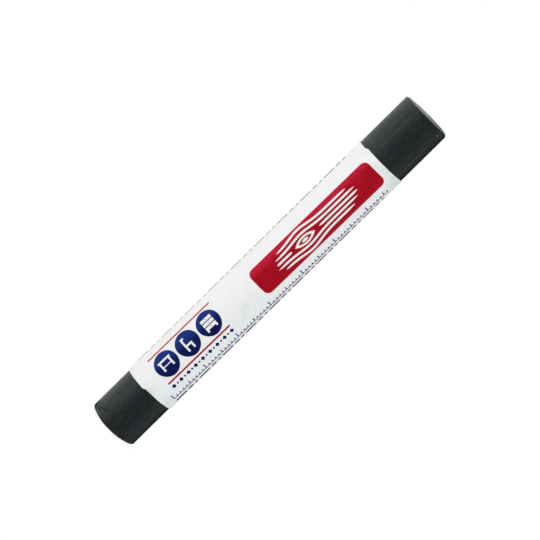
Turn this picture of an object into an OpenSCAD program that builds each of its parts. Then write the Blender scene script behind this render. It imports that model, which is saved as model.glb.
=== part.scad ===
// Furniture repair wax stick: a solid round stick of coloured wax in a paper sleeve.
// The sleeve is one sheet, wrapped round the wax and glued to itself along a lap at the back.
// It slides on the wax, so that fresh wax can be bared as the stick wears down.
// The stick stands on its lower end. Its axis is +Z and the printed front faces -Y.

/* [Wax] */
// Length of the wax from end to end
stick_len = 99; // [90:1:160]
// Radius of the wax
wax_r = 6.2; // [5.8:0.1:9]
// How far the rounding of the lower end reaches in from the side
foot_round_w = 1.6; // [0.6:0.1:2]
// How far the rounding of the lower end reaches up the side
foot_round_h = 1; // [0.4:0.1:2]
// How far the rounding of the upper end reaches in from the side
head_round_w = 0.8; // [0.4:0.1:2]
// How far the rounding of the upper end reaches down the side
head_round_h = 0.4; // [0.2:0.1:2]

/* [Sleeve] */
// Bare wax below the sleeve
bare_low = 12.3; // [5:0.1:16]
// Length of the sleeve along the stick
sleeve_len = 72.5; // [72:0.5:80]
// Thickness of the paper
paper_t = 0.13; // [0.08:0.01:0.3]
// Running clearance between the wax and the paper
sleeve_gap = 0.05; // [0.02:0.01:0.1]
// Width of the lap where the sheet covers its own start
lap_w = 4; // [3:0.1:6]
// Width of the glue under the lap
glue_w = 3; // [1:0.1:3]
// Thickness of the glue
glue_t = 0.02; // [0.01:0.01:0.05]

/* [Print] */
// Thickness of the printed ink
ink_t = 0.03; // [0.02:0.01:0.06]

/* [Red panel] */
// From the sleeve's lower edge to the panel
panel_from = 34.1; // [25:0.1:40]
// From the panel to the sleeve's upper edge
panel_margin = 2.1; // [1:0.1:8]
// Width of the panel round the stick
panel_w = 7.3; // [6.8:0.1:8]
// Corner radius of the panel
panel_round = 1.4; // [0.5:0.1:3]
// How far the panel's middle lies to the right of the front line
panel_shift = 0.65; // [0:0.05:1]
// From either end of the panel to the wood grain left open in it
grain_margin = 5.65; // [4:0.05:8]
// Width of a grain line
grain_line = 0.5; // [0.3:0.02:0.56]
// Spacing of the grain lines where they run straight
grain_pitch = 1.02; // [0.9:0.01:1.05]
// Height of the knot that the grain runs round
knot_h = 2; // [1.8:0.1:2.2]
// Gap between the knot and the nearest grain line
knot_gap = 0.4; // [0.3:0.05:0.5]

/* [Discs] */
// From the sleeve's lower edge to the middle of the first disc
disc_from = 7.5; // [6:0.1:8]
// Diameter of a disc
disc_d = 6; // [5.4:0.1:6.3]
// Gap between neighbouring discs
disc_gap = 0.5; // [0.2:0.05:2]
// How far the discs lie to the left of the front line
disc_shift = 1.1; // [0.9:0.05:1.3]
// Width of the furniture signs left open in the discs
sign_w = 3.5; // [2.8:0.1:3.6]
// Stroke of the furniture signs
sign_line = 0.46; // [0.3:0.02:0.5]

/* [Rules and beads] */
// Width of the thin red rules beside the discs
rule_w = 0.42; // [0.2:0.02:0.5]
// Gap between a disc and a rule
rule_gap = 0.35; // [0.2:0.05:0.4]
// Size of one bead from corner to corner
bead_w = 1.15; // [0.8:0.05:1.2]
// Diameter of the dots between the beads
dot_d = 0.5; // [0.3:0.05:0.7]
// Distance between neighbouring beads, before the row is stretched to the rules' length
bead_pitch = 2.2; // [2:0.1:4]
// Gap between a rule and the beads
bead_gap = 0.53; // [0.3:0.01:0.7]

/* [Scale and dashes] */
// From either edge of the sleeve to the scale and the dashes
row_margin = 2.75; // [1:0.05:8]
// Distance between neighbouring marks of the scale
mark_pitch = 1; // [0.8:0.1:2]
// Width of a mark
mark_w = 0.26; // [0.15:0.01:0.4]
// Height of a plain mark
mark_h = 0.85; // [0.5:0.05:1]
// Height of every fifth mark
mark_five_h = 1.3; // [1.05:0.05:1.4]
// Height of every tenth mark
mark_ten_h = 1.75; // [1.5:0.05:1.8]
// Gap between the beads and the scale
scale_gap = 0.77; // [0.6:0.01:1]
// Gap between the foot of the scale and the dashes beside it
row_gap = 0.93; // [0.6:0.01:1.5]
// How far the left row of dashes lies from the front line
left_row_shift = 8.3; // [7.5:0.1:9]
// Height of a dash
dash_h = 0.75; // [0.4:0.05:1]
// Length of a long dash
dash_long = 3.1; // [2:0.1:4]
// Length of a short dash
dash_short = 1.3; // [0.8:0.1:2]
// Gap between dashes
dash_gap = 0.7; // [0.4:0.1:1]

/* [Hidden] */

wax_colour = [0.15, 0.165, 0.17];
paper_colour = [0.93, 0.94, 0.95];
glue_colour = [0.85, 0.83, 0.74];
red_colour = [0.66, 0.05, 0.1];
navy_colour = [0.05, 0.11, 0.32];

// Facets of a preview: the solids stay truly round
round_fn = 180;
small_fn = 48;

// Overrun of every cut
over = 1;

sleeve_in_r = wax_r + sleeve_gap;
sleeve_out_r = sleeve_in_r + paper_t;
lap_in_r = sleeve_out_r + glue_t;
lap_out_r = lap_in_r + paper_t;
far_r = lap_out_r + over;

// Angles are measured round the axis from the front, anticlockwise seen from above
full_turn = 360;
function arc_angle(width) = full_turn * width / (2 * PI * sleeve_out_r);
function at(radius, angle) = [radius * sin(angle), -radius * cos(angle)];

// The lap covers the sheet's own start. The sheet climbs on to it along a straight stretch, which
// leaves the wax's clearance where two parallel lines cross the sheet's two surfaces.
lap_angle = arc_angle(lap_w);
lap_start = (full_turn - lap_angle) / 2;
lap_end = (full_turn + lap_angle) / 2;
climb_angle = 15;
climb_dip_share = 0.25;
climb_past_share = 0.07;
climb_past_angle = climb_angle * climb_past_share;
lap_join_angle = climb_past_angle * 2 / 5;
climb_foot_angle = climb_past_angle * 3 / 5;
sleeve_mid_r = (sleeve_in_r + sleeve_out_r) / 2;
lap_mid_r = (lap_in_r + lap_out_r) / 2;
function climb_point(start_r, end_r, share) =
    let (from = at(start_r - paper_t * climb_dip_share, lap_start - climb_angle))
    from + share * (at(end_r, lap_start) - from);

// A wedge of the plane between two angles, wide enough for everything that the part holds
wedge_step = 30;
module wedge(from_angle, to_angle) {
    steps = ceil((to_angle - from_angle) / wedge_step);
    polygon(concat(
        [[0, 0]],
        [for (i = [0 : steps]) at(2 * far_r, from_angle + (to_angle - from_angle) * i / steps)]
    ));
}

module ring(inner_r, outer_r) {
    difference() {
        circle(r = outer_r, $fn = round_fn);
        circle(r = inner_r, $fn = round_fn);
    }
}

module ring_part(inner_r, outer_r, from_angle, to_angle) {
    intersection() {
        ring(inner_r, outer_r);
        wedge(from_angle, to_angle);
    }
}

// What the climbing stretch adds outside the first turn
module climb() {
    intersection() {
        circle(r = lap_out_r, $fn = round_fn);
        polygon([
            climb_point(sleeve_out_r, lap_out_r, 0),
            climb_point(sleeve_out_r, lap_out_r, 1 + 2 * climb_past_share),
            at(lap_mid_r, lap_start + 2 * climb_past_angle),
            at(lap_mid_r, lap_start + climb_foot_angle),
            at(sleeve_mid_r, lap_start + climb_foot_angle),
            at(sleeve_mid_r, lap_start - climb_angle / 2)
        ]);
    }
}

// The hollow under the climbing stretch, up to the sheet's own start
module climb_hollow() {
    inward_share = (sleeve_in_r - paper_t) / lap_out_r;
    from = climb_point(sleeve_in_r, lap_in_r, 0);
    to = climb_point(sleeve_in_r, lap_in_r, 1 + climb_past_share);
    polygon([from, to, to * inward_share, from * inward_share]);
}

// A quarter of the ellipse that rounds an end, from the flat of the end to the side
round_steps = 10;
quarter_turn = full_turn / 4;
function end_curve(end_z, toward, round_w, round_h) = [
    for (i = [0 : round_steps])
        let (a = quarter_turn * i / round_steps)
        [wax_r - round_w + round_w * sin(a), end_z + toward * round_h * (1 - cos(a))]
];
function backwards(points) = [for (i = [len(points) - 1 : -1 : 0]) points[i]];

module wax_stick() {
    color(wax_colour)
    rotate_extrude($fn = round_fn)
    polygon(concat(
        [[0, 0]],
        end_curve(0, 1, foot_round_w, foot_round_h),
        backwards(end_curve(stick_len, -1, head_round_w, head_round_h)),
        [[0, stick_len]]
    ));
}

module paper_sleeve() {
    color(paper_colour)
    translate([0, 0, bare_low])
    linear_extrude(sleeve_len)
    difference() {
        union() {
            ring(sleeve_in_r, sleeve_out_r);
            climb();
            ring_part(lap_in_r, lap_out_r, lap_start + lap_join_angle, lap_end);
        }
        climb_hollow();
    }
}

module seam_glue() {
    glue_angle = arc_angle(glue_w);
    color(glue_colour)
    translate([0, 0, bare_low])
    linear_extrude(sleeve_len)
    ring_part(sleeve_out_r, lap_in_r, (full_turn - glue_angle) / 2, (full_turn + glue_angle) / 2);
}

// A film of ink on the sleeve, about the line that lies a distance to the right of the front line.
// It is drawn as it reads: x runs up the stick from the sleeve's lower edge, and y runs round it
// to the left.
module film(shift) {
    translate([0, 0, bare_low])
    intersection() {
        difference() {
            cylinder(h = sleeve_len, r = sleeve_out_r + ink_t, $fn = round_fn);
            translate([0, 0, -over])
            cylinder(h = sleeve_len + 2 * over, r = sleeve_out_r, $fn = round_fn);
        }
        rotate([0, 0, arc_angle(shift)])
        rotate([quarter_turn, 0, 0])
        linear_extrude(far_r)
        rotate(quarter_turn)
        children();
    }
}

// A width measured round the sleeve, taken straight across, and the other way about
function across(width) = 2 * sleeve_out_r * sin(arc_angle(width) / 2);
function around(width) = 2 * asin(width / 2 / sleeve_out_r) / arc_angle(1);

module rounded_bar(length, height, corner_r) {
    translate([0, corner_r - height / 2])
    square([length, height - 2 * corner_r]);
    translate([corner_r, -height / 2])
    square([length - 2 * corner_r, height]);
    for (x = [corner_r, length - corner_r], side = [-1, 1])
        translate([x, side * (height / 2 - corner_r)])
        circle(r = corner_r, $fn = small_fn);
}

// The panel ends short of the sleeve's upper edge, and the grain short of the panel's ends
panel_len = sleeve_len - panel_from - panel_margin;
grain_len = panel_len - 2 * grain_margin;

// Wood grain that runs along the panel and round one knot. Each line has its level, counted from
// the middle of the panel, and the shares of the grain's length where it starts and ends.
knot_place_share = 0.36;
knot_len_share = 0.24;
knot_hole_share = 2 / 3;
knot_core_share = 0.32;
knot_reach_share = 0.62;
line_taper_share = 0.1;
grain_line_shares = [
    [-2, 0.05, 0.9],
    [-1, 0, 0.97],
    [0, 0.02, 0.2],
    [0, 0.53, 1],
    [1, 0.03, 1],
    [2, 0.08, 0.93]
];
grain_steps = 36;
knot_len = grain_len * knot_len_share;
knot_x = grain_margin + grain_len * knot_place_share;

// How high a line of a level runs at a place, pushed out where it passes the knot
function knot_push(level) =
    level == 0 ? 0 : knot_h / 2 + knot_gap + grain_line / 2 - grain_pitch * 9 / 8 + abs(level) * grain_pitch / 8;
function line_y(level, x) =
    level * grain_pitch
    + sign(level) * knot_push(level) * exp(-pow((x - knot_x) / (knot_len * knot_reach_share), 2));
function half_line(x, from_x, to_x) =
    grain_line / 2 * sqrt(min(1, (x - from_x) / (to_x - from_x) / line_taper_share,
        (to_x - x) / (to_x - from_x) / line_taper_share));

module grain_stroke(level, from_x, to_x) {
    xs = [for (i = [0 : grain_steps]) from_x + (to_x - from_x) * i / grain_steps];
    polygon(concat(
        [for (x = xs) [x, line_y(level, x) + half_line(x, from_x, to_x)]],
        [
            for (i = [grain_steps - 1 : -1 : 1])
                [xs[i], line_y(level, xs[i]) - half_line(xs[i], from_x, to_x)]
        ]
    ));
}

// A pointed oval about the middle of the knot
module pointed_oval(length, height) {
    oval_r = (length * length + height * height) / (4 * height);
    intersection_for (side = [-1, 1])
        translate([knot_x, side * (oval_r - height / 2)])
        circle(r = oval_r, $fn = round_fn);
}

module wood_grain() {
    for (line = grain_line_shares)
        grain_stroke(line[0], grain_margin + grain_len * line[1], grain_margin + grain_len * line[2]);
    difference() {
        pointed_oval(knot_len, knot_h);
        pointed_oval(knot_len * knot_hole_share, knot_h - 2 * grain_line + grain_line / 4);
    }
    pointed_oval(knot_len * knot_core_share, knot_h * knot_core_share);
}

module red_panel() {
    color(red_colour)
    film(panel_shift)
    translate([panel_from, 0])
    difference() {
        rounded_bar(panel_len, across(panel_w), panel_round);
        wood_grain();
    }
}

// The signs are drawn about their own middles
table_height_share = 0.72;
chair_width_share = 0.58;
chair_seat_share = 0.46;
chest_width_share = 0.84;
drawer_count = 3;

module bar(x0, y0, x1, y1) {
    translate([x0, y0])
    square([x1 - x0, y1 - y0]);
}

module table_sign() {
    top_y = sign_w * table_height_share / 2;
    bar(-sign_w / 2, top_y - sign_line, sign_w / 2, top_y);
    for (side = [-1, 1])
        translate([side * (sign_w / 2 - sign_line), 0])
        bar(-sign_line / 2, -top_y, sign_line / 2, top_y);
    bar(sign_line - sign_w / 2, -sign_line, sign_w / 2 - sign_line, -sign_line / 2);
}

module chair_sign() {
    half_w = sign_w * chair_width_share / 2;
    half_h = sign_w / 2;
    seat_y = sign_w * chair_seat_share - half_h;
    bar(-half_w, -half_h, sign_line - half_w, half_h);
    bar(half_w - sign_line, -half_h, half_w, seat_y);
    bar(-half_w, seat_y - sign_line, half_w, seat_y);
    bar(-half_w, half_h - sign_line, -half_w + 2 * sign_line, half_h);
}

module chest_sign() {
    half_w = sign_w * chest_width_share / 2;
    drawer_h = 2 * half_w / drawer_count;
    for (i = [0 : drawer_count - 1])
        translate([0, i * drawer_h - half_w])
        difference() {
            bar(-half_w, sign_line / 2, half_w, drawer_h);
            translate([0, drawer_h / 2 + sign_line / 4])
            circle(d = sign_line / 2, $fn = small_fn);
        }
    for (side = [-1, 1])
        translate([side * (half_w - sign_line / 2), 0])
        bar(-sign_line / 2, -half_w - sign_line / 2, sign_line / 2, sign_line - half_w);
}

module sign_of(i) {
    if (i == 0) table_sign();
    if (i == 1) chair_sign();
    if (i == 2) chest_sign();
}

disc_count = 3;
disc_pitch = disc_d + disc_gap;
discs_start = disc_from - disc_d / 2;
discs_len = disc_d + (disc_count - 1) * disc_pitch;

// Measured round the sleeve to the right: each row lies beside the one before it
rule_out = around(disc_d) / 2 + rule_gap + rule_w / 2;
bead_shift = rule_out - disc_shift + rule_w / 2 + bead_gap + bead_w / 2;
scale_shift = bead_shift + bead_w / 2 + scale_gap + mark_ten_h;
right_row_shift = scale_shift + row_gap + dash_h / 2;

module navy_discs() {
    color(navy_colour)
    for (i = [0 : disc_count - 1])
        film(-disc_shift)
        translate([disc_from + i * disc_pitch, 0])
        difference() {
            circle(d = disc_d, $fn = small_fn);
            sign_of(i);
        }
}

module red_rules() {
    color(red_colour)
    for (side = [-1, 1])
        film(side * rule_out - disc_shift)
        translate([discs_start, -rule_w / 2])
        square([discs_len, rule_w]);
}

module navy_beads() {
    gap_count = round((discs_len - bead_w) / bead_pitch);
    bead_step = (discs_len - bead_w) / gap_count;
    color(navy_colour)
    film(bead_shift)
    translate([discs_start + bead_w / 2, 0])
    union() {
        for (i = [0 : gap_count])
            translate([i * bead_step, 0])
            rotate(quarter_turn / 2)
            square(bead_w / sqrt(2), center = true);
        for (i = [0 : gap_count - 1])
            translate([i * bead_step + bead_step / 2, 0])
            circle(d = dot_d, $fn = small_fn);
    }
}

row_len = sleeve_len - 2 * row_margin;

module navy_scale() {
    mark_count = floor((row_len - mark_w) / mark_pitch);
    color(navy_colour)
    film(scale_shift)
    translate([row_margin, 0])
    union() {
        square([mark_count * mark_pitch + mark_w, mark_w]);
        for (i = [0 : mark_count])
            translate([i * mark_pitch, 0])
            square([mark_w, i % 10 == 0 ? mark_ten_h : i % 5 == 0 ? mark_five_h : mark_h]);
    }
}

module dash_row(shift) {
    dashes = [dash_long, dash_short, dash_h];
    starts = [0, dash_long + dash_gap, dash_long + dash_short + 2 * dash_gap];
    period = starts[2] + dash_h + dash_gap;
    period_count = floor((row_len + dash_gap) / period);
    film(shift)
    translate([row_margin, -dash_h / 2])
    for (i = [0 : period_count - 1], j = [0 : len(dashes) - 1])
        translate([i * period + starts[j], 0])
        square([dashes[j], dash_h]);
}

module navy_dashes() {
    color(navy_colour) {
        dash_row(right_row_shift);
        dash_row(-left_row_shift);
    }
}

wax_stick();
paper_sleeve();
seam_glue();
red_panel();
red_rules();
navy_discs();
navy_beads();
navy_scale();
navy_dashes();
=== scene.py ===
"""Looks of the furniture repair wax stick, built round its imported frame.

Everything is in metres in the frame's own axes: +Z runs up the stick, and the print faces -Y.
Sizes are written in millimetres and scaled once, where a mesh is made.
"""
import math

import bmesh
import bpy
import numpy as np
from mathutils import Matrix, Vector


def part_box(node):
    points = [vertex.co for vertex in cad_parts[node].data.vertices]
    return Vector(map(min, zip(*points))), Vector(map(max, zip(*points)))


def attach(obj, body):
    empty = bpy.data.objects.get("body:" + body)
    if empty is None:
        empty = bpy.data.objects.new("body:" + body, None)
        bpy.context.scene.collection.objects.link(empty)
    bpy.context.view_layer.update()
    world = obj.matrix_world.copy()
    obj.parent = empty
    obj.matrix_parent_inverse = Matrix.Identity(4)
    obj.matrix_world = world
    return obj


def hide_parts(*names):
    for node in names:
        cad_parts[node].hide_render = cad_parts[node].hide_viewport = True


MM = 0.001
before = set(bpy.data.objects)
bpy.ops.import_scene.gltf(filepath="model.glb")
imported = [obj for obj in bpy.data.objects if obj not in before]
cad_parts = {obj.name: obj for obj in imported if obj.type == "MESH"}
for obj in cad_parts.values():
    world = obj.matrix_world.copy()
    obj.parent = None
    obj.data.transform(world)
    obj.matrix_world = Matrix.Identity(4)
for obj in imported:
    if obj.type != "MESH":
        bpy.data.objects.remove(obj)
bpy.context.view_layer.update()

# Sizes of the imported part, in millimetres
WAX_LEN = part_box("wax_stick")[1].z / MM
WAX_R = 6.2
SLEEVE_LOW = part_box("paper_sleeve")[0].z / MM
SLEEVE_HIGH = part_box("paper_sleeve")[1].z / MM
PAPER_IN_R = 6.25
PAPER_T = 0.13
PAPER_OUT_R = PAPER_IN_R + PAPER_T
GLUE_T = 0.02
LAP_IN_R = PAPER_OUT_R + GLUE_T
INK_T = 0.03
INK_OUT_R = PAPER_OUT_R + INK_T

# Angles are in degrees round the axis from the front, anticlockwise seen from above. The sheet's
# own angles run on past a full turn, from its start under the lap to its end.
FULL_TURN = 360.0
HALF_TURN = 180.0
SHEET_START = 163.1
CLIMB_START = 505.0
CLIMB_END = 523.0
SHEET_END = 557.9


# Smooth fields

def smooth_noise(across, along, cells_across, cells_along, seed):
    """A smooth field from -1 to 1 that closes on itself across, sampled at places from 0 to 1."""
    rng = np.random.default_rng(seed)
    grid = rng.uniform(-1, 1, (cells_across, cells_along + 2))
    x = (across % 1.0) * cells_across
    y = np.clip(along, 0, 1) * cells_along
    i, j = np.floor(x).astype(int), np.floor(y).astype(int)
    fx, fy = x - i, y - j
    fx, fy = fx * fx * (3 - 2 * fx), fy * fy * (3 - 2 * fy)
    i, i2 = i % cells_across, (i + 1) % cells_across
    j2 = j + 1
    low = grid[i, j] * (1 - fx) + grid[i2, j] * fx
    high = grid[i, j2] * (1 - fx) + grid[i2, j2] * fx
    return low * (1 - fy) + high * fy


def layered_noise(across, along, layers):
    """Smooth fields added up. A layer has its cells across, cells along, seed and share."""
    return sum(share * smooth_noise(across, along, *field) for *field, share in layers)


def smooth_step(low, high, x):
    """0 below low, 1 above high, and a smooth rise between them."""
    t = np.clip((x - low) / (high - low), 0, 1)
    return t * t * (3 - 2 * t)


def window(x, start, full, fade, end):
    """Rises from 0 to 1 between start and full, and falls back between fade and end."""
    return smooth_step(start, full, x) * (1 - smooth_step(fade, end, x))


def angle_apart(a, b=0.0):
    """Signed degrees from b to a, the short way round."""
    return (a - b + HALF_TURN) % FULL_TURN - HALF_TURN


# Slight waves of the wrapped sheet, as layers of noise, and their depth in millimetres
PAPER_WAVES = [(7, 6, 21, 0.6), (17, 15, 22, 0.4)]
PAPER_WAVE_DEPTH = 0.012


def paper_dip(angle, z):
    """How far the wrapped sheet lies inside its true cylinder, in millimetres."""
    return PAPER_WAVE_DEPTH * (1 + layered_noise(angle / FULL_TURN, z / WAX_LEN, PAPER_WAVES))


# Meshes

def put_in_scene(name, data):
    made = bpy.data.objects.new(name, data)
    bpy.context.scene.collection.objects.link(made)
    return made


def new_mesh(name, points, faces, body, material):
    """A shaded piece from points in millimetres, riding on a body of the frame."""
    mesh = bpy.data.meshes.new(name)
    mesh.from_pydata((np.asarray(points) * MM).tolist(), [], faces)
    mesh.validate()
    mesh.polygons.foreach_set("use_smooth", [True] * len(mesh.polygons))
    piece = put_in_scene(name, mesh)
    mesh.materials.append(material)
    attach(piece, body)
    return piece


def set_values(piece, name, values, domain="POINT"):
    """Keep one number for each point or face of a piece, for its material to read."""
    layer = piece.data.attributes.new(name, "FLOAT", domain)
    layer.data.foreach_set("value", np.asarray(values, np.float32))


def grid_faces(columns, rows, offset=0, closed=False, flip=False):
    """Quads of a grid whose points run along each column in turn."""
    faces = []
    last = columns if closed else columns - 1
    for i in range(last):
        a, b = offset + i * rows, offset + (i + 1) % columns * rows
        for j in range(rows - 1):
            quad = (a + j, b + j, b + j + 1, a + j + 1)
            faces.append(quad[::-1] if flip else quad)
    return faces


# Node trees

def fresh_nodes(owner, output_kind):
    """The emptied node tree of a material or world, and its new output node."""
    owner.use_nodes = True
    tree = owner.node_tree
    tree.nodes.clear()
    return tree, tree.nodes.new(output_kind)


class Shader:
    """A small helper that adds nodes to one material and links them as it goes."""

    def __init__(self, name):
        self.material = bpy.data.materials.new(name)
        self.tree, self.out = fresh_nodes(self.material, "ShaderNodeOutputMaterial")
        self.place = self.scaled(self.add("ShaderNodeTexCoord").outputs["Object"], (1 / MM,) * 3)

    def add(self, kind, **settings):
        node = self.tree.nodes.new(kind)
        for key, value in settings.items():
            setattr(node, key, value)
        return node

    def put(self, socket, value):
        """Link a socket into another, or write a plain value there."""
        if isinstance(value, bpy.types.NodeSocket):
            self.tree.links.new(value, socket)
        else:
            socket.default_value = value

    def scaled(self, vector, scale, turn=(0, 0, 0)):
        node = self.add("ShaderNodeMapping")
        self.put(node.inputs["Vector"], vector)
        node.inputs["Scale"].default_value = scale
        node.inputs["Rotation"].default_value = turn
        return node.outputs["Vector"]

    def moved(self, vector, by):
        node = self.add("ShaderNodeVectorMath", operation="ADD")
        self.put(node.inputs[0], vector)
        node.inputs[1].default_value = by
        return node.outputs["Vector"]

    def noise(self, scale, stretch=(1, 1, 1), detail=3.0, rough=0.55, shift=0.0, turn=(0, 0, 0)):
        """Noise of about `scale` features a millimetre, pulled out along an axis by a small stretch."""
        place = self.scaled(self.place, stretch, turn)
        if shift:
            place = self.moved(place, (shift, shift * 1.7, shift * 0.6))
        node = self.add("ShaderNodeTexNoise")
        self.put(node.inputs["Vector"], place)
        node.inputs["Scale"].default_value = scale
        node.inputs["Detail"].default_value = detail
        node.inputs["Roughness"].default_value = rough
        return node.outputs["Fac"]

    def spots(self, scale, size, share, stretch=(1, 1, 1), shift=0.0):
        """Sparse round spots: 1 inside a spot and 0 elsewhere. A share of the cells holds one."""
        place = self.moved(self.scaled(self.place, stretch), (shift, shift, shift))
        cell = self.add("ShaderNodeTexVoronoi")
        self.put(cell.inputs["Vector"], place)
        cell.inputs["Scale"].default_value = scale
        near = self.span(cell.outputs["Distance"], size, size * 0.4)
        pick = self.add("ShaderNodeSeparateColor")
        self.put(pick.inputs["Color"], cell.outputs["Color"])
        return self.times(near, self.math("LESS_THAN", pick.outputs[0], share))

    def math(self, operation, *values):
        node = self.add("ShaderNodeMath", operation=operation)
        for socket, value in zip(node.inputs, values):
            self.put(socket, value)
        return node.outputs["Value"]

    def times(self, first, *others):
        for other in others:
            first = self.math("MULTIPLY", first, other)
        return first

    def plus(self, first, *others):
        for other in others:
            first = self.math("ADD", first, other)
        return first

    def apart(self, a, b):
        return self.math("ABSOLUTE", self.math("SUBTRACT", a, b))

    def span(self, value, low, high, to_low=0.0, to_high=1.0, smooth=True):
        """Map low to to_low and high to to_high, clamped beyond them."""
        kind = "SMOOTHSTEP" if smooth else "LINEAR"
        node = self.add("ShaderNodeMapRange", interpolation_type=kind)
        names = ("Value", "From Min", "From Max", "To Min", "To Max")
        for name, item in zip(names, (value, low, high, to_low, to_high)):
            self.put(node.inputs[name], item)
        return node.outputs["Result"]

    def tint(self, colour, towards, *shares):
        """A colour turned towards another by the product of some shares."""
        node = self.add("ShaderNodeMix", data_type="RGBA")
        self.put(node.inputs["Factor"], self.times(*shares))
        for socket, item in ((node.inputs[6], colour), (node.inputs[7], towards)):
            self.put(socket, item if isinstance(item, bpy.types.NodeSocket) else (*item, 1.0))
        return node.outputs[2]

    def value(self, name):
        """A number kept on the mesh."""
        return self.add("ShaderNodeAttribute", attribute_name=name).outputs["Fac"]

    def turn_and_height(self):
        """The angle round the axis from the front, in degrees, and the height in millimetres."""
        node = self.add("ShaderNodeSeparateXYZ")
        self.put(node.inputs["Vector"], self.place)
        turn = self.math("ARCTAN2", node.outputs["X"], self.times(node.outputs["Y"], -1.0))
        return self.math("DEGREES", turn), node.outputs["Z"]

    def bump(self, height, strength, distance, normal=None):
        node = self.add("ShaderNodeBump")
        self.put(node.inputs["Height"], height)
        self.put(node.inputs["Strength"], strength)
        node.inputs["Distance"].default_value = distance * MM
        if normal is not None:
            self.put(node.inputs["Normal"], normal)
        return node.outputs["Normal"]

    def finish(self, colour, rough, normal, **sockets):
        shader = self.add("ShaderNodeBsdfPrincipled")
        self.put(shader.inputs["Base Color"], colour)
        self.put(shader.inputs["Roughness"], rough)
        self.put(shader.inputs["Normal"], normal)
        for key, value in sockets.items():
            self.put(shader.inputs[key.replace("_", " ")], value)
        self.tree.links.new(shader.outputs["BSDF"], self.out.inputs["Surface"])
        return self.material


# Material of the wax

# Colours of the plain wax
WAX_DARK = (0.0095, 0.0130, 0.0145)
WAX_MID = (0.0139, 0.0184, 0.0197)
WAX_LIGHT = (0.030, 0.035, 0.0355)
WAX_DEEP = (0.0040, 0.0060, 0.0070)
WAX_OLIVE = (0.0180, 0.0225, 0.0085)
WAX_PLUM = (0.0150, 0.0135, 0.0190)
WAX_TEAL = (0.0060, 0.0145, 0.0205)
WAX_SHEEN = (0.86, 0.97, 1.0, 1.0)

# Colours that saw, paper, wear and knocks left on it, and painted shade for deep hollows
SAWN_LIGHT = (0.036, 0.042, 0.043)
SAWN_DARK = (0.0035, 0.0050, 0.0060)
RESIDUE = (0.026, 0.028, 0.014)
SCRAPE_LIGHT = (0.034, 0.040, 0.041)
SCRAPE_DARK = (0.0008, 0.0014, 0.0020)
WORN_WAX = (0.040, 0.046, 0.047)
CHIPPED_WAX = (0.115, 0.127, 0.124)
# Painted shade for the hollows of deep dents and the nick
HOLLOW_SHADE = (0.0015, 0.0017, 0.0020)
FLECK = (0.07, 0.078, 0.078)
SPECK = (0.16, 0.17, 0.165)
PORE = (0.003, 0.003, 0.0035)

# Random fields of the wax: features a millimetre, stretch up the stick, detail, roughness, shift
WAX_FIELDS = {
    "line": (2.6, 0.09, 4, 0.65, 0),
    "rub": (1.5, 0.3, 4, 0.7, 11),
    "patch": (0.2, 0.6, 3, 0.55, 5),
    "warm": (0.62, 0.7, 2, 0.5, 31),
    "cool": (0.5, 0.7, 2, 0.5, 47),
    "grain": (3.1, 0.75, 3, 0.7, 3),
    "haze": (0.8, 0.35, 5, 0.75, 71),
    "gaps": (1.9, 0.5, 3, 0.7, 83),
}

# Tints laid on in turn: field, where in it the tint starts and is full, strength, colour
WAX_TINTS = [
    ("patch", 0.5, 0.72, 0.25, WAX_LIGHT),
    ("haze", 0.50, 0.68, 0.45, WAX_LIGHT),
    ("warm", 0.54, 0.68, 0.7, WAX_OLIVE),
    ("warm", 0.46, 0.33, 0.6, WAX_PLUM),
    ("cool", 0.54, 0.68, 0.7, WAX_TEAL),
    ("grain", 0.50, 0.72, 0.8, WAX_LIGHT),
    ("grain", 0.46, 0.30, 0.6, WAX_DEEP),
    ("line", 0.56, 0.70, 0.5, WAX_LIGHT),
    ("line", 0.42, 0.3, 0.7, WAX_DEEP),
]

# Depth of each field's relief on the wax's side, in millimetres
WAX_RELIEF = [("rub", 0.11), ("line", 0.06), ("grain", 0.06)]
SAW_RELIEF = 0.05
SPOT_RELIEF = 0.03


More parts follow.
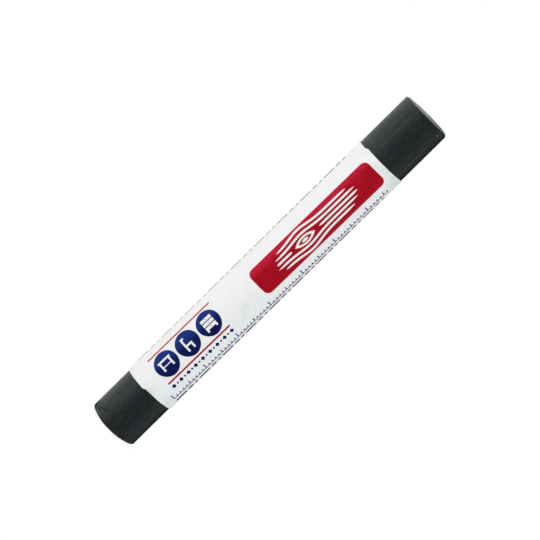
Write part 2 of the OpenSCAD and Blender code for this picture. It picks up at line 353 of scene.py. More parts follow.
def wax_material():
    s = Shader("charcoal_wax")
    fields = {
        name: s.noise(scale, (1, 1, up), detail=detail, rough=rough, shift=shift)
        for name, (scale, up, detail, rough, shift) in WAX_FIELDS.items()
    }
    colour = s.tint(WAX_DARK, WAX_MID, s.span(fields["rub"], 0.36, 0.64))
    for name, start, full, strength, towards in WAX_TINTS:
        colour = s.tint(colour, towards, s.span(fields[name], start, full), strength)

    # The cut faces keep the saw's lines, and the paper left a little glue beside its edges
    sawn = s.noise(2.0, (0.07, 1, 1), detail=4, rough=0.65, shift=61, turn=(0, 0, 0.4))
    on_face = s.value("cut_face")
    colour = s.tint(colour, SAWN_LIGHT, on_face, s.span(sawn, 0.5, 0.66, 0.0, 0.7))
    colour = s.tint(colour, SAWN_DARK, on_face, s.span(sawn, 0.46, 0.34, 0.0, 0.7))
    colour = s.tint(colour, RESIDUE, s.value("residue"), s.span(fields["haze"], 0.4, 0.6, 0.3, 0.8))

    scrape = s.value("scrape")
    patchy = s.span(fields["gaps"], 0.38, 0.6, 0.25, 1.0)
    colour = s.tint(colour, SCRAPE_LIGHT, s.span(scrape, 0.0, 1.0, smooth=False), patchy)
    colour = s.tint(colour, SCRAPE_DARK, s.span(scrape, 0.0, -1.0, smooth=False), patchy)
    colour = s.tint(colour, WORN_WAX, s.value("worn"), s.span(fields["grain"], 0.36, 0.6, 0.2, 1.0))
    colour = s.tint(colour, CHIPPED_WAX, s.value("chipped"))
    # Deep dents and the nick get a darker colour as painted shade in their hollows
    colour = s.tint(colour, HOLLOW_SHADE, s.value("hollow_shade"))
    flecks = s.spots(0.55, 0.085, 0.22)
    colour = s.tint(colour, FLECK, flecks)
    colour = s.tint(colour, SPECK, s.value("speck"))
    pores = s.spots(0.8, 0.07, 0.35, (1, 1, 0.7), shift=7)
    colour = s.tint(colour, PORE, pores, 0.7)

    rough = s.plus(
        s.span(fields["patch"], 0.35, 0.7, 0.27, 0.35),
        s.span(fields["rub"], 0.3, 0.7, -0.04, 0.06),
        s.times(s.value("hollow_shade"), 0.4),
        s.times(on_face, 0.08),
        s.span(scrape, 0.0, -1.0, 0.0, 0.3, smooth=False),
    )
    on_side = s.math("SUBTRACT", 1.0, s.times(on_face, 0.7))
    normal = None
    for name, depth in WAX_RELIEF:
        normal = s.bump(fields[name], on_side, depth, normal)
    normal = s.bump(sawn, s.times(on_face, 0.8), SAW_RELIEF, normal)
    normal = s.bump(s.math("SUBTRACT", flecks, pores), 0.6, SPOT_RELIEF, normal)
    return s.finish(colour, rough, normal, Specular_IOR_Level=0.5, Specular_Tint=WAX_SHEEN)


# Material of the paper

PAPER_SHADE = (0.866, 0.895, 0.917)
PAPER_WHITE = (0.888, 0.914, 0.932)
PAPER_TOOTH = (0.84, 0.86, 0.875)
DUST = (0.50, 0.49, 0.45)
ROLLER_GREY = (0.42, 0.46, 0.43)
THUMB_BROWN = (0.50, 0.49, 0.40)
WAX_RUB = (0.36, 0.37, 0.36)
# Painted shade along the foot of the lap's lifted edge
LAP_EDGE_SHADE = (0.34, 0.34, 0.33)
CUT_PAPER = (0.86, 0.82, 0.70)
PAPER_INSIDE = (0.62, 0.60, 0.54)

# Step from one of the rollers' lines to the next, and the height of one line, in millimetres
ROLL_PITCH = 6.04
ROLL_PHASE = 54.7

# The thumb's mark: its height, its place across, and how it leans, in millimetres
THUMB_HEIGHT = 40.2
THUMB_ACROSS = 2.6
THUMB_LEAN = 0.6
MM_PER_DEGREE = 0.111


def paper_material():
    s = Shader("coated_paper")
    cloud = s.noise(0.35, shift=2)
    fibre = s.noise(3.0, (1, 1, 0.25), detail=4, rough=0.7, turn=(0.4, 0.2, 0.7))
    cross = s.noise(3.4, (0.3, 1, 1), rough=0.7, shift=9, turn=(0.1, 0.9, 0.3))
    tooth = s.plus(s.times(fibre, 0.5), s.times(cross, 0.5))
    colour = s.tint(PAPER_SHADE, PAPER_WHITE, s.span(cloud, 0.35, 0.7))
    colour = s.tint(colour, PAPER_TOOTH, s.span(tooth, 0.5, 0.64), 0.3)
    colour = s.tint(colour, DUST, s.spots(0.3, 0.05, 0.3, shift=4), 0.35)
    turn, up = s.turn_and_height()

    # Rollers left faint lines across the left of the sheet, at an even pitch
    half_pitch = ROLL_PITCH / 2
    wrapped = s.math("WRAP", up, ROLL_PHASE + half_pitch, ROLL_PHASE - half_pitch)
    line = s.times(
        s.span(s.apart(wrapped, ROLL_PHASE), 0.14, 0.03),
        s.span(turn, -28, -40),
        s.span(turn, -92, -74),
        s.span(s.noise(0.7, shift=23), 0.35, 0.6, 0.3, 1.0),
    )
    colour = s.tint(colour, ROLLER_GREY, line, 0.12)

    # A soft brown rub mark where a thumb held the sleeve
    lean = s.times(s.math("SUBTRACT", THUMB_HEIGHT, up), THUMB_LEAN)
    across = s.math("SUBTRACT", s.times(turn, MM_PER_DEGREE), lean)
    mark = s.times(
        s.span(s.apart(across, THUMB_ACROSS), 1.5, 0.0),
        s.span(s.apart(up, THUMB_HEIGHT), 3.6, 0.4),
        s.span(s.noise(0.8, (1, 1, 0.5), detail=4, shift=29), 0.34, 0.66),
    )
    colour = s.tint(colour, THUMB_BROWN, mark, 0.26)

    # Wax rubbed off on the sheet near its ends, and painted shade lies along the foot of the lap's edge
    smudge = s.noise(0.22, (1, 1, 0.5), detail=4, shift=17)
    colour = s.tint(colour, WAX_RUB, s.value("near_edge"), s.span(smudge, 0.48, 0.68), 0.28)
    # A thin line of painted shade where the lap's edge meets the sheet beneath
    colour = s.tint(colour, LAP_EDGE_SHADE, s.value("lap_foot"), 0.5)
    colour = s.tint(colour, CUT_PAPER, s.value("cut_edge"))
    colour = s.tint(colour, PAPER_INSIDE, s.value("inside"))

    rough = s.plus(s.span(cloud, 0.3, 0.7, 0.33, 0.41), s.times(s.value("cut_edge"), 0.4))
    normal = s.bump(tooth, 0.25, 0.008)
    normal = s.bump(line, -0.3, 0.01, normal)
    normal = s.bump(cloud, 0.2, 0.05, normal)
    return s.finish(colour, rough, normal, Specular_IOR_Level=0.28)


# Materials of the inks and the glue

INK_IOR = 2.1
PAPER_THROUGH = (0.7, 0.68, 0.68)
GLUE_DARK = (0.66, 0.60, 0.42)
GLUE_LIGHT = (0.78, 0.74, 0.60)

# Colours of each ink: where it lies thick, elsewhere, where it is worn, and its sheen
RED_COLOURS = [(0.435, 0.0001, 0.0003), (0.48, 0.0002, 0.0008), (0.55, 0.003, 0.006), (1.0, 0.075, 0.21)]
NAVY_COLOURS = [(0.002, 0.003, 0.058), (0.0035, 0.005, 0.085), (0.008, 0.022, 0.13), (0.065, 0.16, 0.8)]


def ink_material(name, deep, full, worn, sheen):
    s = Shader(name)
    cloud = s.noise(0.4, shift=6)
    grain = s.noise(7.0, detail=2, rough=0.6, shift=8)
    colour = s.tint(deep, full, s.span(cloud, 0.35, 0.68))
    colour = s.tint(colour, worn, s.span(grain, 0.55, 0.78), 0.35)
    colour = s.tint(colour, PAPER_THROUGH, s.spots(1.3, 0.05, 0.16, shift=12), 0.2)
    rough = s.span(cloud, 0.3, 0.7, 0.25, 0.33)
    normal = s.bump(grain, 0.15, 0.006)
    gloss = {"IOR": INK_IOR, "Specular_IOR_Level": 1.0, "Specular_Tint": (*sheen, 1.0)}
    return s.finish(colour, rough, normal, **gloss)


def glue_material():
    s = Shader("dried_glue")
    cloud = s.noise(1.2)
    colour = s.tint(GLUE_DARK, GLUE_LIGHT, s.span(cloud, 0.35, 0.65))
    return s.finish(colour, s.span(cloud, 0.3, 0.7, 0.25, 0.5), s.bump(cloud, 0.4, 0.02))


WAX = wax_material()
PAPER = paper_material()
RED = ink_material("red_ink", *RED_COLOURS)
NAVY = ink_material("navy_ink", *NAVY_COLOURS)
GLUE = glue_material()


# The wax

# Columns round the stick, rings on each cut face, steps of each rounding, and steps of height where
# the wax is bare and where the sleeve covers it
COLUMNS = 480
FACE_RINGS = 16
ROUND_STEPS = 14
BARE_STEP = 0.125
COVERED_STEP = 0.4

# The rounding of the rims in millimetres: the foot's in and up, then the head's in and down, with
# what is added towards one side, and how much they wander
RIM_SIZES = (1.40, 0.82, 0.36, 0.22)
RIM_LEANS = (0.20, 0.12, 0.0, 0.0)
RIM_LEAN_SIDE = 70.0
RIM_WANDERS = (0.12, 0.06, 0.06, 0.04)

# Wear of the rims: angle, spread, and how much it adds to the same four sizes
RIM_WEAR = [
    (-63, 32, (1.3, 0.78, 0.0, 0.0)),
    (42, 32, (0.2, 0.2, 0.0, 0.0)),
    (64, 24, (0.9, 0.1, 0.0, 0.0)),
    (95, 32, (0.0, 0.0, 0.8, 0.6)),
    (145, 34, (0.0, 0.0, 0.5, 0.2)),
    (-95, 26, (0.0, 0.0, 0.35, 0.28)),
    (-128, 30, (0.0, 0.0, 1.5, 0.15)),
]

# Small waves of the side, as layers of noise, and the depth of each kind in millimetres
STREAK_LAYERS = [(160, 3, 1, 0.5), (61, 5, 2, 0.5)]
SLOW_LAYERS = [(5, 9, 3, 1.0)]
MOTTLE_LAYERS = [(60, 110, 4, 1.0)]
STREAK_DEPTH = 0.006
SLOW_DEPTH = 0.014
MOTTLE_DEPTH = 0.005

# Dents: angle, height, half width, half height and depth in millimetres
DENTS = [
    (-74.5, 1.30, 0.64, 0.56, 0.34),
    (-74.0, 2.1, 0.50, 0.45, 0.14),
    (38.0, 3.4, 0.9, 2.2, 0.035),
    (-30.0, 7.6, 0.5, 1.6, 0.03),
    (12.0, 92.0, 0.8, 2.6, 0.03),
    (64.0, 94.5, 0.5, 1.2, 0.05),
    (-52.0, 90.0, 0.7, 1.9, 0.03),
    (150.0, 5.0, 1.2, 2.4, 0.06),
    (205.0, 93.0, 1.0, 3.0, 0.05),
    (118.0, 97.9, 0.6, 0.6, 0.16),
    (-128.0, 98.4, 0.5, 0.5, 0.14),
    (78.0, 1.2, 0.6, 0.6, 0.12),
    (-158.0, 1.0, 0.7, 0.6, 0.18),
]
# A dent deeper than this gets painted shade in its hollow, a darker colour there
SHADED_DENT_DEPTH = 0.1

# Pale specks pressed into the wax: angle, height and radius in millimetres
SPECKS = [(49.6, 97.6, 0.20), (-44.0, 86.5, 0.14), (62.0, 95.6, 0.10), (-22.0, 6.4, 0.10)]

# Long scrapes on the wax: angle, half width, lowest and highest place, tone from -1 to 1
SCRAPES = [
    (-50.5, 0.40, 84.5, 97.5, 0.45),
    (-29.7, 0.27, 91.4, 97.5, -0.9),
    (-21.4, 0.26, 84.0, 96.5, 0.6),
    (36.0, 0.14, 91.5, 96.2, -0.9),
    (39.6, 0.14, 85.0, 96.4, 0.85),
    (43.0, 0.17, 86.4, 92.6, -1.0),
    (47.4, 0.16, 84.5, 88.5, -1.0),
    (51.8, 0.30, 85.0, 92.4, 0.7),
    (58.0, 0.20, 92.0, 96.5, -0.8),
    (-56.0, 0.18, 4.0, 11.0, 0.7),
    (-44.0, 0.15, 4.5, 12.0, -0.6),
    (-33.0, 0.15, 5.5, 12.5, 0.4),
    (-18.5, 0.22, 2.6, 12.5, -0.5),
    (33.0, 0.14, 1.5, 9.5, 0.6),
    (41.0, 0.11, 3.0, 12.0, -0.7),
    (48.0, 0.16, 2.0, 12.0, 0.5),
    (54.5, 0.10, 3.0, 10.0, -0.6),
    (128.0, 0.22, 86.0, 97.0, 0.6),
    (171.0, 0.30, 1.5, 10.5, 0.5),
    (177.0, 0.12, 2.5, 12.0, -0.7),
    (-140.0, 0.25, 88.0, 98.0, -0.7),
    (-112.0, 0.20, 2.0, 11.0, 0.5),
    (98.0, 0.14, 2.0, 12.0, -0.6),
]
SCRAPE_FADE = 0.6

# A nick runs up from the bruised corner through these places: angle, and height in millimetres
NICK = [(-84.0, 1.35), (-66.0, 1.15), (-54.0, 1.3), (-41.0, 2.3), (-27.0, 2.9), (-16.0, 3.0)]
NICK_WIDTH = 0.17
NICK_DEPTH = 0.04

# The cut faces: drag lines, a shallow dish inside a radius where the wax shrank, and mottling
DRAG_DEPTH = 0.012
DISH_DEPTH = 0.11
DISH_R = 4.6
FACE_MOTTLE = 0.01
FACE_MIDDLE_DEPTH = 0.13

# The head is thicker by this much, and smoother, than the rest of the stick
HEAD_SWELL = 0.030
HEAD_FROM = 80.0

# How far the surface has to lean along the axis to be a rim, and to be a cut face
RIM_TILT = 0.15
FACE_TILT = 0.97


def soft_bump(angle, at, spread):
    """1 at one angle, falling off round it."""
    return np.exp(-(angle_apart(angle, at) / spread) ** 2)


def below_nick(angle, z):
    """Millimetres from the nick down to a place, and how much of the nick there is at its angle."""
    at, heights = zip(*NICK)
    turned = angle_apart(angle)
    present = window(turned, at[0] - 4, at[0] + 6, at[-1] - 12, at[-1])
    return np.interp(turned, at, heights) - z, present


def rim_sizes(angle):
    """How far the roundings of both ends reach at an angle: in and up, then in and down."""
    leaning = np.cos(np.radians(angle - RIM_LEAN_SIDE))
    sizes = [size + lean * leaning for size, lean in zip(RIM_SIZES, RIM_LEANS)]
    for at, spread, added in RIM_WEAR:
        wear = soft_bump(angle, at, spread)
        sizes = [size + more * wear for size, more in zip(sizes, added)]
    wander = smooth_noise(angle / FULL_TURN, angle * 0, 40, 1, 5)
    return [size + reach * wander for size, reach in zip(sizes, RIM_WANDERS)]


def wax_rings():
    """The plain stick in rings from the foot's middle to the head's. Each of the five results has a
    row for each column of points: angle, radius, height, and the outward direction's two parts."""
    angle = np.arange(COLUMNS) * FULL_TURN / COLUMNS
    foot_w, foot_h, head_w, head_h = rim_sizes(angle)
    rings = []

    def ring(*sizes):
        rings.append([np.broadcast_to(size, angle.shape).astype(float) for size in sizes])

    def rounding(k):
        t = math.pi / 2 * k / ROUND_STEPS
        return math.sin(t), math.cos(t)

    for k in range(1, FACE_RINGS):
        ring((WAX_R - foot_w) * k / FACE_RINGS, 0.0, 0.0, -1.0)
    for k in range(ROUND_STEPS + 1):
        sine, cosine = rounding(k)
        ring(WAX_R - foot_w + foot_w * sine, foot_h * (1 - cosine), sine, -cosine)
    heights = np.concatenate([
        np.arange(BARE_STEP, SLEEVE_LOW, BARE_STEP),
        np.arange(SLEEVE_LOW, SLEEVE_HIGH, COVERED_STEP),
        np.arange(SLEEVE_HIGH, WAX_LEN - BARE_STEP / 2, BARE_STEP),
    ])
    for height in heights:
        ring(WAX_R, foot_h + (WAX_LEN - head_h - foot_h) * height / WAX_LEN, 1.0, 0.0)
    for k in range(ROUND_STEPS, -1, -1):
        sine, cosine = rounding(k)
        ring(WAX_R - head_w + head_w * sine, WAX_LEN - head_h * (1 - cosine), sine, cosine)
    for k in range(FACE_RINGS - 1, 0, -1):
        ring((WAX_R - head_w) * k / FACE_RINGS, WAX_LEN, 0.0, 1.0)
    rho, z, out_r, out_z = np.array(rings).transpose(1, 2, 0)
    return np.broadcast_to(angle[:, None], rho.shape), rho, z, out_r, out_z


def dented(push, a, rho, z, mottle):
    """The push outward at each point less the dents, and how much painted shade a deep dent puts in its
    hollow.
    """
    hollow_shade = np.zeros_like(rho)
    for at, height, half_w, half_h, depth in DENTS:
        sideways = np.radians(angle_apart(a, at)) * WAX_R / half_w
        upward = (z - height) / half_h
        reach = np.hypot(sideways, upward) * (1 + 0.25 * mottle)
        bite = np.clip(1 - reach * reach, 0, 1) ** 1.5 * (rho > WAX_R * 0.6)
        push = push - depth * bite
        if depth > SHADED_DENT_DEPTH:
            hollow_shade = np.maximum(hollow_shade, np.clip(bite * 3, 0, 1))
    return push, hollow_shade


def face_depth(a, rho, slow, mottle):
    """How deep a cut face lies at each point: drag lines, the dish and mottling."""
    x, y = rho * np.sin(np.radians(a)), -rho * np.cos(np.radians(a))
    drag = np.sin(x * 5.1 + 0.8 * y + 2 * slow) * np.sin(x * 2.3 - 0.5 * y)
    dish = np.clip(1 - (rho / DISH_R) ** 2, 0, 1)
    return DRAG_DEPTH * (1 + drag) + DISH_DEPTH * dish + FACE_MOTTLE * (1 + mottle)


def wax_scrapes(a, z, mottle):
    """The tone of the long scrapes at each point, dark below 0 and light above it."""
    scrape = np.zeros_like(z)
    for at, half_w, lowest, highest, tone in SCRAPES:
        across = np.radians(angle_apart(a, at)) * WAX_R + 0.12 * np.sin(z * 1.1 + at)
        part = window(z, lowest - SCRAPE_FADE, lowest + SCRAPE_FADE,
                      highest - SCRAPE_FADE, highest + SCRAPE_FADE)
        scrape += tone * np.exp(-(across / half_w) ** 2) * part * (0.75 + 0.25 * mottle)
    return np.clip(scrape, -1, 1)


def wax_specks(a, z):
    speck = np.zeros_like(z)
    for at, height, size in SPECKS:
        reach = np.hypot(np.radians(angle_apart(a, at)) * WAX_R, z - height)
        speck = np.maximum(speck, np.clip(1.4 - reach / size, 0, 1))
    return speck


def build_wax():
    a, rho, z, out_r, out_z = wax_rings()
    turned = angle_apart(a)
    across, along = a / FULL_TURN, z / WAX_LEN
    streaks = layered_noise(across, along, STREAK_LAYERS)
    slow = layered_noise(across, along, SLOW_LAYERS)
    mottle = layered_noise(across, along, MOTTLE_LAYERS)
    push = -STREAK_DEPTH * (1 - streaks) - SLOW_DEPTH * (1 - slow) - MOTTLE_DEPTH * (1 - mottle)

    push, hollow_shade = dented(push, a, rho, z, mottle)
    under, present = below_nick(a, z)
    nick = np.exp(-(under / NICK_WIDTH) ** 2) * present
    push = push - NICK_DEPTH * nick
    # The nick's groove gets painted shade as well
    hollow_shade = np.maximum(hollow_shade, 0.45 * nick * (0.6 + 0.6 * mottle))

    on_face = np.clip(np.abs(out_z), 0, 1) ** 2
    push = push * (1 - on_face) - on_face * face_depth(a, rho, slow, mottle)
    smoother = 1 - 0.5 * smooth_step(HEAD_FROM, HEAD_FROM + 12, z)
    push = push * smoother + HEAD_SWELL * smooth_step(HEAD_FROM, HEAD_FROM + 8, z) * out_r
    r_final = rho + push * out_r
    z_final = np.clip(z + push * out_z, 0, WAX_LEN)

    # Both faces close in a fan round their middle points, which come last
    x, y = r_final * np.sin(np.radians(a)), -r_final * np.cos(np.radians(a))
    points = np.stack([x, y, z_final], 2).reshape(-1, 3)
    rings, low, high = rho.shape[1], len(points), len(points) + 1
    points = np.vstack([points, [[0, 0, FACE_MIDDLE_DEPTH], [0, 0, WAX_LEN - FACE_MIDDLE_DEPTH]]])
    faces = grid_faces(COLUMNS, rings, closed=True)
    for i in range(COLUMNS):
        j = (i + 1) % COLUMNS
        faces.append((low, j * rings, i * rings))
        faces.append((high, i * rings + rings - 1, j * rings + rings - 1))
    piece = new_mesh("wax_body", points, faces, "stick", WAX)

    def mark(name, values, at_middles=0.0):
        set_values(piece, name, np.append(values.ravel(), [at_middles, at_middles]))

    # Rims and faces are worn pale, and so is the wax below the nick and the foot's rim beside it
    is_face = np.abs(out_z) >= FACE_TILT
    is_rim = (np.abs(out_z) > RIM_TILT) & (np.abs(out_z) < FACE_TILT)
    scuffed = window(under, 0.1, 0.4, 1.5, 2.6) * present
    rubbed = window(turned, -60, -46, -16, -4) * (1 - smooth_step(0.7, 2.6, z))
    worn = np.where(is_rim, 0.55, 0.0) + np.where(is_face, 0.25, 0.0)
    worn = (worn + 0.6 * scuffed + 0.9 * rubbed) * (0.6 + 0.4 * mottle)
    chipped = window(turned, -76, -68, -44, -24) * (out_z < -0.05) * (out_z > -FACE_TILT)
    beside = np.exp(-((z - SLEEVE_LOW) / 0.5) ** 2) + np.exp(-((z - SLEEVE_HIGH) / 0.7) ** 2)
    mark("worn", np.clip(worn, 0, 1), 0.2)
    mark("chipped", chipped * (0.7 + 0.3 * mottle))
    # Painted shade in the hollows of deep dents and the nick
    mark("hollow_shade", hollow_shade)
    mark("residue", window(turned, -88, -74, -40, -12) * beside)
    mark("scrape", wax_scrapes(a, z, mottle))
    mark("speck", wax_specks(a, z))
    mark("cut_face", is_face, 1.0)
    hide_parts("wax_stick")


build_wax()


# The paper sleeve

SHEET_COLUMNS = 440
SHEET_ROWS = 150
SHARP_EDGE = math.radians(40)

# Each end of the sheet steps up once: where the step starts and ends, the height before it against
# the solid's edge, and its rise. The edges also wander a little.
LOW_STEP = (-12.5, -3.0, -0.2, 0.4)
HIGH_STEP = (-45.0, -37.0, -0.4, 0.38)
LOW_WANDER = 0.03
HIGH_WANDER = 0.02

# More rows lie near each cut edge, at these shares of the sheet's height
EDGE_ROWS = [0.0, 0.002, 0.006]

# The lap's last degrees stand off the sheet below by up to this much
LOOSE_TURN = 9.0
LOOSE_LIFT = 0.05


def sheet_edges(turn):
    """Where the sheet is cut, lower and upper, at an angle counted along the sheet."""
    wander = smooth_noise(turn / FULL_TURN / 2, turn * 0, 60, 1, 7)
    edges = []
    for edge, step, reach in (
        (SLEEVE_LOW, LOW_STEP, LOW_WANDER),
        (SLEEVE_HIGH, HIGH_STEP, HIGH_WANDER),
    ):
        start, end, before, rise = step
        stepped = edge + before + rise * smooth_step(start, end, turn - FULL_TURN)
        edges.append(stepped + reach * wander)
    return edges


def sheet_radius(turn, z):
    """Radius of the sheet's inner side."""
    climbed = smooth_step(CLIMB_START, CLIMB_END, turn)
    loose = smooth_step(SHEET_END - LOOSE_TURN, SHEET_END, turn)
    lift = LOOSE_LIFT * loose * (0.6 + 0.4 * np.sin(z * 0.21))
    return PAPER_IN_R + (LAP_IN_R - PAPER_IN_R) * climbed + lift - paper_dip(turn, z)


def build_paper():
    turn = np.linspace(SHEET_START, SHEET_END, SHEET_COLUMNS)
    low, high = (edge[:, None] for edge in sheet_edges(turn))
    near_low = np.array(EDGE_ROWS)
    row = np.concatenate([near_low, np.linspace(0, 1, SHEET_ROWS)[1:-1], 1 - near_low])
    row = np.sort(row)
    rows = len(row)
    a = np.repeat(turn[:, None], rows, 1)
    z = low + (high - low) * row[None, :]
    inner = sheet_radius(a, z)

    def wrapped(radius):
        angle = np.radians(a)
        return np.stack([radius * np.sin(angle), -radius * np.cos(angle), z], 2).reshape(-1, 3)

    # The outer side's points come first, then the inner side's. The cut edges' faces come last.
    count = SHEET_COLUMNS * rows
    points = np.vstack([wrapped(inner + PAPER_T), wrapped(inner)])
    faces = grid_faces(SHEET_COLUMNS, rows) + grid_faces(SHEET_COLUMNS, rows, count, flip=True)
    side_faces = len(faces)
    for i in range(SHEET_COLUMNS - 1):
        p, q = i * rows, (i + 1) * rows
        faces.append((p, p + count, q + count, q))
        p, q = p + rows - 1, q + rows - 1
        faces.append((p, q, q + count, p + count))
    for j in range(rows - 1):
        faces.append((j, j + 1, j + 1 + count, j + count))
        k = (SHEET_COLUMNS - 1) * rows + j
        faces.append((k, k + count, k + 1 + count, k + 1))
    piece = new_mesh("sleeve_paper", points, faces, "sleeve", PAPER)
    piece.data.set_sharp_from_angle(angle=SHARP_EDGE)

    near = np.exp(-(np.minimum(z - low, high - z).ravel() / 2.5) ** 2)
    # A thin band of painted shade just beyond the lap's edge, on the sheet beneath
    lap_shade = window((a - (SHEET_END - FULL_TURN)).ravel(), -0.6, 0.3, 0.6, 2.6)
    set_values(piece, "near_edge", np.concatenate([near, near]))
    set_values(piece, "lap_foot", np.concatenate([lap_shade, np.zeros(count)]))
    set_values(piece, "inside", np.concatenate([np.zeros(count), np.ones(count)]))
    is_cut = np.arange(len(piece.data.polygons)) >= side_faces
    set_values(piece, "cut_edge", is_cut, "FACE")
    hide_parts("paper_sleeve")


build_paper()


# The printed inks

# How far a print stands over the sheet and reaches into it, in millimetres
INK_LIFT = 0.008
INK_SINK = 0.02

# A print is cut at each of these degrees and millimetres, so that it can follow the sheet
CUT_ANGLE = 1.5
CUT_HEIGHT = 2.0

# The print turns by so many degrees for each millimetre above its middle
PRINT_SKEW = 0.09
PRINT_MIDDLE = 52.0

# What lies to the left of an angle, the row of dashes there, is turned further round
LEFT_ROW_FROM = -65.0
LEFT_ROW_TURN = 5.6


def degrees_round(point):
    return math.degrees(math.atan2(point.x, -point.y))


def cut_finely(mesh):
    """Cut a mesh in millimetres into narrow strips round the stick and up it."""
    angles = [degrees_round(p.co) for p in mesh.verts]
    heights = [p.co.z for p in mesh.verts]

    def cut(point, normal):
        geometry = mesh.verts[:] + mesh.edges[:] + mesh.faces[:]
        bmesh.ops.bisect_plane(mesh, geom=geometry, dist=1e-5, plane_co=point, plane_no=normal)

    for k in range(int(min(angles) / CUT_ANGLE) - 1, int(max(angles) / CUT_ANGLE) + 1):
        t = math.radians(k * CUT_ANGLE)
        cut((0, 0, 0), (math.cos(t), math.sin(t), 0))
    height = min(heights) + CUT_HEIGHT
    while height < max(heights):
        cut((0, 0, height), (0, 0, 1))
        height += CUT_HEIGHT
    return (max(angles) + min(angles)) / 2


def build_print(node, material, narrow=1.0, turn=0.0):
    """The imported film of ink, cut finely and laid on the sheet's own surface. The print runs a
    little askew, and can be narrowed about its middle and turned round the stick by some degrees."""
    mesh = bmesh.new()
    mesh.from_mesh(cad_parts[node].data)
    for p in mesh.verts:
        p.co /= MM
    bmesh.ops.remove_doubles(mesh, verts=mesh.verts, dist=1e-4)
    middle_angle = cut_finely(mesh)
    middle_r = (PAPER_OUT_R + INK_OUT_R) / 2 - 0.004
    for p in mesh.verts:
        radius = math.hypot(p.co.x, p.co.y)
        skew = PRINT_SKEW * (p.co.z - PRINT_MIDDLE)
        angle = middle_angle + turn + (degrees_round(p.co) - middle_angle) * narrow + skew
        if angle < LEFT_ROW_FROM:
            angle -= LEFT_ROW_TURN
        seat = PAPER_OUT_R - float(paper_dip(np.float64(angle), np.float64(p.co.z)))
        wanted = seat + INK_LIFT if radius > middle_r else seat - INK_SINK
        p.co.x = wanted * math.sin(math.radians(angle))
        p.co.y = -wanted * math.cos(math.radians(angle))
        p.co *= MM
    data = bpy.data.meshes.new("print_" + node)
    mesh.to_mesh(data)
    mesh.free()
    data.polygons.foreach_set("use_smooth", [True] * len(data.polygons))
    data.set_sharp_from_angle(angle=SHARP_EDGE)
    data.materials.clear()
    data.materials.append(material)
    piece = put_in_scene("print_" + node, data)
    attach(piece, "sleeve")
    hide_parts(node)


build_print("red_panel", RED, narrow=0.972, turn=-1.6)
build_print("red_rules", RED)
for navy_node in ("navy_discs", "navy_beads", "navy_scale", "navy_dashes"):
    build_print(navy_node, NAVY)

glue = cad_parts["seam_glue"]
glue.data.materials.clear()
glue.data.materials.append(GLUE)


# Floor and world

FLOOR_HALF = 3.0
FLOOR_COLOUR = (0.86, 0.86, 0.86, 1)
FLOOR_GLOW = 1.04
FLOOR_GLOW_SHARE = 0.9
WORLD_LIGHT = 0.95
WORLD_SEEN = 1.0
WHITE = (1, 1, 1, 1)


def seen_rays(tree):
    """1 for camera, glossy and transmission rays, and 0 for the light on the object."""
    path = tree.nodes.new("ShaderNodeLightPath")
    seen = path.outputs["Is Camera Ray"]
    for kind in ("Is Glossy Ray", "Is Transmission Ray"):
        either = tree.nodes.new("ShaderNodeMath")
        either.operation = "MAXIMUM"
        tree.links.new(seen, either.inputs[0])
        tree.links.new(path.outputs[kind], either.inputs[1])
        seen = either.outputs[0]
    return seen


def stage_floor():
    """A pale matt floor that looks nearly white and keeps the object's shadow."""
    mesh = bpy.data.meshes.new("floor")
    h = FLOOR_HALF
    mesh.from_pydata([(-h, -h, 0), (h, -h, 0), (h, h, 0), (-h, h, 0)], [], [(0, 1, 2, 3)])
    floor = put_in_scene("floor", mesh)
    material = bpy.data.materials.new("floor_white")
    tree, out = fresh_nodes(material, "ShaderNodeOutputMaterial")
    matt = tree.nodes.new("ShaderNodeBsdfDiffuse")
    matt.inputs["Color"].default_value = FLOOR_COLOUR
    white = tree.nodes.new("ShaderNodeEmission")
    white.inputs["Color"].default_value = WHITE
    white.inputs["Strength"].default_value = FLOOR_GLOW
    share = tree.nodes.new("ShaderNodeMath")
    share.operation = "MULTIPLY"
    tree.links.new(seen_rays(tree), share.inputs[0])
    share.inputs[1].default_value = FLOOR_GLOW_SHARE
    mix = tree.nodes.new("ShaderNodeMixShader")
    for source, socket in zip((share, matt, white), mix.inputs):
        tree.links.new(source.outputs[0], socket)
    tree.links.new(mix.outputs[0], out.inputs["Surface"])
    mesh.materials.append(material)


def stage_world():
    """A plain white world, a trace darker as light than as it is seen."""
    world = bpy.data.worlds.new("studio")
    bpy.context.scene.world = world
    tree, out = fresh_nodes(world, "ShaderNodeOutputWorld")
    back = tree.nodes.new("ShaderNodeBackground")
    back.inputs["Color"].default_value = WHITE
    level = tree.nodes.new("ShaderNodeMapRange")
    tree.links.new(seen_rays(tree), level.inputs["Value"])
    level.inputs["To Min"].default_value = WORLD_LIGHT
    level.inputs["To Max"].default_value = WORLD_SEEN
    tree.links.new(level.outputs["Result"], back.inputs["Strength"])
    tree.links.new(back.outputs[0], out.inputs["Surface"])


# Lamp and reflection cards

LAMP_PLACE = (-0.55, -0.50, 0.20)
LAMP_SIZE = (0.4, 0.6)
LAMP_WATTS = 0.85
LAMP_COLOUR = (0.98, 0.82, 0.60)

# The cards stand round the stick at one radius, and lie on the floor inside it, in millimetres.
# Those behind end below the wax's top face, which reflects what is over them.
CARD_R = 30.0
CARD_LIFT = 0.02
CARD_TOP = 160.0
LOW_CARD_TOP = 98.0
FLOOR_CARD_R = 12.0
FOOT_CARD_R = 3.5
CARD_COLUMNS = 24
STANDING = [(FLOOR_CARD_R, CARD_LIFT), (CARD_R, CARD_LIFT), (CARD_R, CARD_TOP)]
BEHIND = [(FLOOR_CARD_R, CARD_LIFT), (CARD_R, CARD_LIFT), (CARD_R, LOW_CARD_TOP)]
HIGH = [(CARD_R, LOW_CARD_TOP), (CARD_R, CARD_TOP)]
LYING = [(FOOT_CARD_R, CARD_LIFT), (FLOOR_CARD_R, CARD_LIFT)]

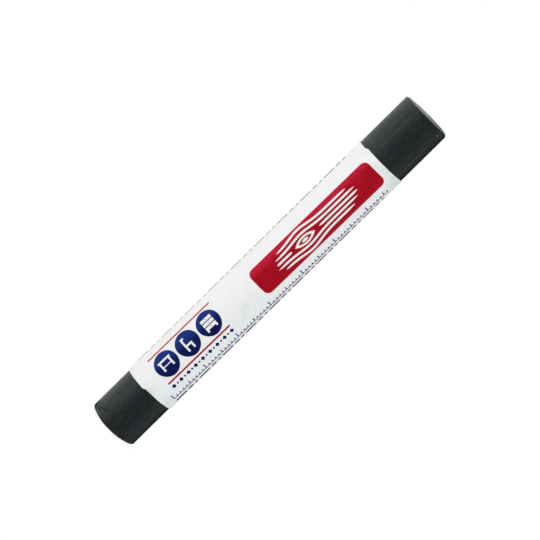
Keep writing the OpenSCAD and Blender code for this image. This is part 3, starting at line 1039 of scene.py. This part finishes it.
# Each card: name, angles where it starts and ends, profile of radii and heights, and its glow
CARDS = [
    ("card_left", -84, -56, STANDING, 0.84),
    ("card_front_left", -56, -26, STANDING, 0.68),
    ("card_front", -26, 58, STANDING, 0.12),
    ("card_right", 58, 116, STANDING, 0.30),
    ("card_back_right", 116, 150, STANDING, 0.02),
    ("card_back", 150, 186, BEHIND, 0.02),
    ("card_back_left", 186, 276, BEHIND, 0.78),
    ("card_back_high", 150, 180, HIGH, 0.6),
    ("card_foot", -180, 180, LYING, 0.15),
]


def stage_lamp():
    """One soft lamp from the left, which isn't itself reflected."""
    light = bpy.data.lights.new("soft_key", "AREA")
    light.shape = "RECTANGLE"
    light.size, light.size_y = LAMP_SIZE
    light.energy = LAMP_WATTS
    light.color = LAMP_COLOUR
    lamp = put_in_scene("soft_key", light)
    lamp.location = LAMP_PLACE
    aim = Vector((0, 0, WAX_LEN * MM / 2)) - Vector(LAMP_PLACE)
    lamp.rotation_mode = "QUATERNION"
    lamp.rotation_quaternion = aim.to_track_quat("-Z", "Y")
    lamp.visible_glossy = False


def stage_card(name, start, end, profile, glow):
    """A card that only reflections see: a profile swept round the stick between two angles."""
    points = []
    for angle in np.radians(np.linspace(start, end, CARD_COLUMNS)):
        for radius, height in profile:
            points.append((radius * math.sin(angle) * MM, -radius * math.cos(angle) * MM, height * MM))
    mesh = bpy.data.meshes.new(name)
    mesh.from_pydata(points, [], grid_faces(CARD_COLUMNS, len(profile)))
    card = put_in_scene(name, mesh)
    material = bpy.data.materials.new(name)
    tree, out = fresh_nodes(material, "ShaderNodeOutputMaterial")
    light = tree.nodes.new("ShaderNodeEmission")
    light.inputs["Strength"].default_value = glow
    tree.links.new(light.outputs[0], out.inputs["Surface"])
    mesh.materials.append(material)
    card.visible_camera = False
    card.visible_diffuse = False
    card.visible_transmission = False
    card.visible_shadow = False


stage_floor()
stage_world()
stage_lamp()
for card_row in CARDS:
    stage_card(*card_row)


# Camera

# It looks along +Y from a little above, and is rolled as the photograph is. Its aim is moved along
# and across the stick by some of the photograph's pixels.
LENS = 260.13
SENSOR = 36.0
CLIP = (0.01, 20.0)
DISTANCE = 0.865
ELEVATION = math.radians(6.3)
ROLL = math.radians(44.56)
MM_PER_PIXEL = 0.2209
SHIFT_ALONG = 2.6 * MM_PER_PIXEL * MM
SHIFT_ACROSS = -0.35 * MM_PER_PIXEL * MM


def stage_camera():
    data = bpy.data.cameras.new("camera")
    data.lens = LENS
    data.sensor_width = SENSOR
    data.clip_start, data.clip_end = CLIP
    camera = put_in_scene("camera", data)
    back = Vector((0, -math.cos(ELEVATION), math.sin(ELEVATION)))
    along = Vector((0, math.sin(ELEVATION), math.cos(ELEVATION)))
    side = Vector((1, 0, 0))
    right = along * math.cos(ROLL) + side * math.sin(ROLL)
    up = along * math.sin(ROLL) - side * math.cos(ROLL)
    aim = Vector((0, 0, WAX_LEN * MM / 2)) + along * SHIFT_ALONG + side * SHIFT_ACROSS
    spot = aim + back * DISTANCE
    camera.matrix_world = Matrix((
        (right.x, up.x, back.x, spot.x),
        (right.y, up.y, back.y, spot.y),
        (right.z, up.z, back.z, spot.z),
        (0, 0, 0, 1),
    ))
    bpy.context.scene.camera = camera


stage_camera()
bpy.context.scene.view_settings.view_transform = "Standard"
